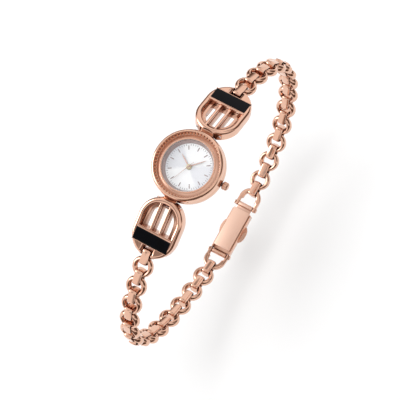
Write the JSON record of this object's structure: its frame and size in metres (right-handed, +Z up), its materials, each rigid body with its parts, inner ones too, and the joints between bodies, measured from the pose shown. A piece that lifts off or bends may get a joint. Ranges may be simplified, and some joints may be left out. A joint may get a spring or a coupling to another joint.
{
  "type": "bracelet watch",
  "caption": "Small round rose gold bracelet watch with slotted end pieces, black inlays, a chain of round rings and a fold-over clasp.",
  "frame": {"origin": "bottom centre of the watch's bounding box, on the surface that it lies on", "axes": "+Z up from the surface, close to the crown's direction, +X from the twelve o'clock side to the six o'clock side, -Y the way the dial faces; the watch lies on its nine o'clock side, tipped a little about X onto its clasp"},
  "size_m": [0.077, 0.0618, 0.0189],
  "materials": {
    "rose_gold_polished": "mirror-polished rose gold plating",
    "rose_gold_hands": "polished rose gold plating",
    "black_enamel": "glossy black enamel",
    "clear_glass": "clear polished mineral glass",
    "silver_dial": "pearly silver white with a sunray",
    "white_seal": "matt white seal",
    "movement_metal": "fine brushed brass",
    "white_plastic": "moulded white plastic",
    "battery_steel": "drawn steel can",
    "copper_winding": "enamelled copper wire",
    "green_board": "solder mask",
    "steel_fittings": "turned steel",
    "steel_back": "satin stainless steel"
  },
  "bodies": {
    "head": {"case_middle": "rose_gold_polished", "bezel": "rose_gold_polished", "crystal": "clear_glass", "gaskets": "white_seal", "case_back": "steel_back", "dial": "silver_dial", "hour_markers": "rose_gold_hands", "main_plate": "movement_metal", "train_bridge": "movement_metal", "movement_holder": "white_plastic", "battery": "battery_steel", "coil": "copper_winding", "circuit_board": "green_board", "crown_tube": "steel_fittings", "lug_pins": "steel_fittings"},
    "stem": {"stem": "steel_fittings"},
    "crown": {"crown": "rose_gold_polished"},
    "hour_hand": {"hour_hand": "rose_gold_hands", "hour_wheel": "movement_metal"},
    "minute_hand": {"minute_hand": "rose_gold_hands", "centre_wheel": "movement_metal"},
    "seconds_hand": {"seconds_hand": "rose_gold_hands", "seconds_wheel": "movement_metal"},
    "end_piece_12h": {"end_piece_12h": "rose_gold_polished", "inlay_12h": "black_enamel"},
    "link_12h_01": {"link_12h_01": "rose_gold_polished"},
    "link_12h_02": {"link_12h_02": "rose_gold_polished"},
    "link_12h_03": {"link_12h_03": "rose_gold_polished"},
    "link_12h_04": {"link_12h_04": "rose_gold_polished"},
    "link_12h_05": {"link_12h_05": "rose_gold_polished"},
    "link_12h_06": {"link_12h_06": "rose_gold_polished"},
    "link_12h_07": {"link_12h_07": "rose_gold_polished"},
    "link_12h_08": {"link_12h_08": "rose_gold_polished"},
    "link_12h_09": {"link_12h_09": "rose_gold_polished"},
    "link_12h_10": {"link_12h_10": "rose_gold_polished"},
    "link_12h_11": {"link_12h_11": "rose_gold_polished"},
    "link_12h_12": {"link_12h_12": "rose_gold_polished"},
    "link_12h_13": {"link_12h_13": "rose_gold_polished"},
    "end_link_12h": {"end_link_12h": "rose_gold_polished", "clasp_pin_12h": "rose_gold_polished"},
    "end_piece_6h": {"end_piece_6h": "rose_gold_polished", "inlay_6h": "black_enamel"},
    "link_6h_01": {"link_6h_01": "rose_gold_polished"},
    "link_6h_02": {"link_6h_02": "rose_gold_polished"},
    "link_6h_03": {"link_6h_03": "rose_gold_polished"},
    "link_6h_04": {"link_6h_04": "rose_gold_polished"},
    "link_6h_05": {"link_6h_05": "rose_gold_polished"},
    "link_6h_06": {"link_6h_06": "rose_gold_polished"},
    "link_6h_07": {"link_6h_07": "rose_gold_polished"},
    "link_6h_08": {"link_6h_08": "rose_gold_polished"},
    "link_6h_09": {"link_6h_09": "rose_gold_polished"},
    "link_6h_10": {"link_6h_10": "rose_gold_polished"},
    "link_6h_11": {"link_6h_11": "rose_gold_polished"},
    "link_6h_12": {"link_6h_12": "rose_gold_polished"},
    "link_6h_13": {"link_6h_13": "rose_gold_polished"},
    "end_link_6h": {"end_link_6h": "rose_gold_polished", "clasp_pin_6h": "rose_gold_polished"},
    "clasp_base": {"clasp_base": "rose_gold_polished", "cover_pin": "steel_fittings"},
    "clasp_cover": {"clasp_cover": "rose_gold_polished"}
  },
  "joints": [
    {"name": "seconds_hand_turn", "type": "hinge", "parent": "head", "child": "seconds_hand", "pos_m": [-0.00256, -0.02732, 0.00879], "axis": [0, 0.9958, -0.0916], "continuous": true},
    {"name": "minute_hand_turn", "type": "hinge", "parent": "head", "child": "minute_hand", "pos_m": [-0.00256, -0.02732, 0.00879], "axis": [0, 0.9958, -0.0916], "continuous": true},
    {"name": "hour_hand_turn", "type": "hinge", "parent": "head", "child": "hour_hand", "pos_m": [-0.00256, -0.02732, 0.00879], "axis": [0, 0.9958, -0.0916], "continuous": true},
    {"name": "crown_pull", "type": "slide", "parent": "head", "child": "stem", "axis": [0, 0.0916, 0.9958], "range_m": [0, 0.0005]},
    {"name": "crown_turn", "type": "hinge", "parent": "stem", "child": "crown", "pos_m": [-0.00256, -0.02564, 0.01717], "axis": [0, 0.0916, 0.9958], "continuous": true},
    {"name": "end_piece_12h_hinge", "type": "hinge", "parent": "head", "child": "end_piece_12h", "pos_m": [-0.01191, -0.02757, 0.00881], "axis": [0, 0.0916, 0.9958], "range_deg": [0, 32.5]},
    {"name": "link_12h_01_hinge", "type": "hinge", "parent": "end_piece_12h", "child": "link_12h_01", "pos_m": [-0.02334, -0.02139, 0.00824], "axis": [0, 0.0916, 0.9958], "range_deg": [0, 18]},
    {"name": "link_12h_02_hinge", "type": "hinge", "parent": "link_12h_01", "child": "link_12h_02", "pos_m": [-0.02762, -0.01823, 0.00795], "axis": [0, 0.0916, 0.9958], "range_deg": [0, 19.5]},
    {"name": "link_12h_03_hinge", "type": "hinge", "parent": "link_12h_02", "child": "link_12h_03", "pos_m": [-0.03132, -0.01441, 0.0076], "axis": [0, 0.0916, 0.9958], "range_deg": [0, 20.5]},
    {"name": "link_12h_04_hinge", "type": "hinge", "parent": "link_12h_03", "child": "link_12h_04", "pos_m": [-0.03426, -0.00999, 0.00719], "axis": [0, 0.0916, 0.9958], "range_deg": [0, 22]},
    {"name": "link_12h_05_hinge", "type": "hinge", "parent": "link_12h_04", "child": "link_12h_05", "pos_m": [-0.03621, -0.00505, 0.00674], "axis": [0, 0.0916, 0.9958], "range_deg": [0, 22.5]},
    {"name": "link_12h_06_hinge", "type": "hinge", "parent": "link_12h_05", "child": "link_12h_06", "pos_m": [-0.03704, 0.0002, 0.00626], "axis": [0, 0.0916, 0.9958], "range_deg": [0, 22.5]},
    {"name": "link_12h_07_hinge", "type": "hinge", "parent": "link_12h_06", "child": "link_12h_07", "pos_m": [-0.03671, 0.00549, 0.00577], "axis": [0, 0.0916, 0.9958], "range_deg": [0, 21.5]},
    {"name": "link_12h_08_hinge", "type": "hinge", "parent": "link_12h_07", "child": "link_12h_08", "pos_m": [-0.03532, 0.01062, 0.0053], "axis": [0, 0.0916, 0.9958], "range_deg": [0, 20.5]},
    {"name": "link_12h_09_hinge", "type": "hinge", "parent": "link_12h_08", "child": "link_12h_09", "pos_m": [-0.03302, 0.01541, 0.00486], "axis": [0, 0.0916, 0.9958], "range_deg": [0, 20]},
    {"name": "link_12h_10_hinge", "type": "hinge", "parent": "link_12h_09", "child": "link_12h_10", "pos_m": [-0.02992, 0.01972, 0.00446], "axis": [0, 0.0916, 0.9958], "range_deg": [0, 20]},
    {"name": "link_12h_11_hinge", "type": "hinge", "parent": "link_12h_10", "child": "link_12h_11", "pos_m": [-0.02611, 0.02343, 0.00412], "axis": [0, 0.0916, 0.9958], "range_deg": [0, 20.5]},
    {"name": "link_12h_12_hinge", "type": "hinge", "parent": "link_12h_11", "child": "link_12h_12", "pos_m": [-0.02168, 0.02639, 0.00385], "axis": [0, 0.0916, 0.9958], "range_deg": [0, 21.5]},
    {"name": "link_12h_13_hinge", "type": "hinge", "parent": "link_12h_12", "child": "link_12h_13", "pos_m": [-0.01675, 0.02841, 0.00366], "axis": [0, 0.0916, 0.9958], "range_deg": [0, 22.5]},
    {"name": "end_link_12h_hinge", "type": "hinge", "parent": "link_12h_13", "child": "end_link_12h", "pos_m": [-0.0115, 0.02932, 0.00358], "axis": [0, 0.0916, 0.9958], "range_deg": [0, 23.5]},
    {"name": "end_piece_6h_hinge", "type": "hinge", "parent": "head", "child": "end_piece_6h", "pos_m": [0.00679, -0.02757, 0.00881], "axis": [0, -0.0916, -0.9958], "range_deg": [0, 24]},
    {"name": "link_6h_01_hinge", "type": "hinge", "parent": "end_piece_6h", "child": "link_6h_01", "pos_m": [0.019, -0.02314, 0.0084], "axis": [0, -0.0916, -0.9958], "range_deg": [0, 17]},
    {"name": "link_6h_02_hinge", "type": "hinge", "parent": "link_6h_01", "child": "link_6h_02", "pos_m": [0.02375, -0.02073, 0.00818], "axis": [0, -0.0916, -0.9958], "range_deg": [0, 18.5]},
    {"name": "link_6h_03_hinge", "type": "hinge", "parent": "link_6h_02", "child": "link_6h_03", "pos_m": [0.02809, -0.01765, 0.0079], "axis": [0, -0.0916, -0.9958], "range_deg": [0, 20]},
    {"name": "link_6h_04_hinge", "type": "hinge", "parent": "link_6h_03", "child": "link_6h_04", "pos_m": [0.03183, -0.01386, 0.00755], "axis": [0, -0.0916, -0.9958], "range_deg": [0, 21.5]},
    {"name": "link_6h_05_hinge", "type": "hinge", "parent": "link_6h_04", "child": "link_6h_05", "pos_m": [0.03473, -0.00941, 0.00714], "axis": [0, -0.0916, -0.9958], "range_deg": [0, 23.5]},
    {"name": "link_6h_06_hinge", "type": "hinge", "parent": "link_6h_05", "child": "link_6h_06", "pos_m": [0.0365, -0.0044, 0.00668], "axis": [0, -0.0916, -0.9958], "range_deg": [0, 24.5]},
    {"name": "link_6h_07_hinge", "type": "hinge", "parent": "link_6h_06", "child": "link_6h_07", "pos_m": [0.03696, 0.00089, 0.00619], "axis": [0, -0.0916, -0.9958], "range_deg": [0, 25]},
    {"name": "link_6h_08_hinge", "type": "hinge", "parent": "link_6h_07", "child": "link_6h_08", "pos_m": [0.03602, 0.00611, 0.00571], "axis": [0, -0.0916, -0.9958], "range_deg": [0, 24]},
    {"name": "link_6h_09_hinge", "type": "hinge", "parent": "link_6h_08", "child": "link_6h_09", "pos_m": [0.03385, 0.01096, 0.00527], "axis": [0, -0.0916, -0.9958], "range_deg": [0, 22.5]},
    {"name": "link_6h_10_hinge", "type": "hinge", "parent": "link_6h_09", "child": "link_6h_10", "pos_m": [0.03067, 0.01522, 0.00488], "axis": [0, -0.0916, -0.9958], "range_deg": [0, 20]},
    {"name": "link_6h_11_hinge", "type": "hinge", "parent": "link_6h_10", "child": "link_6h_11", "pos_m": [0.0268, 0.01886, 0.00454], "axis": [0, -0.0916, -0.9958], "range_deg": [0, 18]},
    {"name": "link_6h_12_hinge", "type": "hinge", "parent": "link_6h_11", "child": "link_6h_12", "pos_m": [0.02245, 0.02194, 0.00426], "axis": [0, -0.0916, -0.9958], "range_deg": [0, 16.5]},
    {"name": "link_6h_13_hinge", "type": "hinge", "parent": "link_6h_12", "child": "link_6h_13", "pos_m": [0.01778, 0.0245, 0.00402], "axis": [0, -0.0916, -0.9958], "range_deg": [0, 15]},
    {"name": "end_link_6h_hinge", "type": "hinge", "parent": "link_6h_13", "child": "end_link_6h", "pos_m": [0.01291, 0.02664, 0.00382], "axis": [0, -0.0916, -0.9958], "range_deg": [0, 14]},
    {"name": "clasp_hinge", "type": "hinge", "parent": "end_link_12h", "child": "clasp_base", "pos_m": [-0.00588, 0.02896, 0.00361], "axis": [0, 0.0916, 0.9958], "range_deg": [0, 45]},
    {"name": "clasp_cover_hinge", "type": "hinge", "parent": "clasp_base", "child": "clasp_cover", "pos_m": [-0.00358, 0.02889, 0.00362], "axis": [0, 0.0916, 0.9958], "range_deg": [0, 95]}
  ],
  "couplings": [
    {"joint": "minute_hand_turn", "follows": "seconds_hand_turn", "ratio": 0.016667},
    {"joint": "hour_hand_turn", "follows": "seconds_hand_turn", "ratio": 0.0013889}
  ]
}
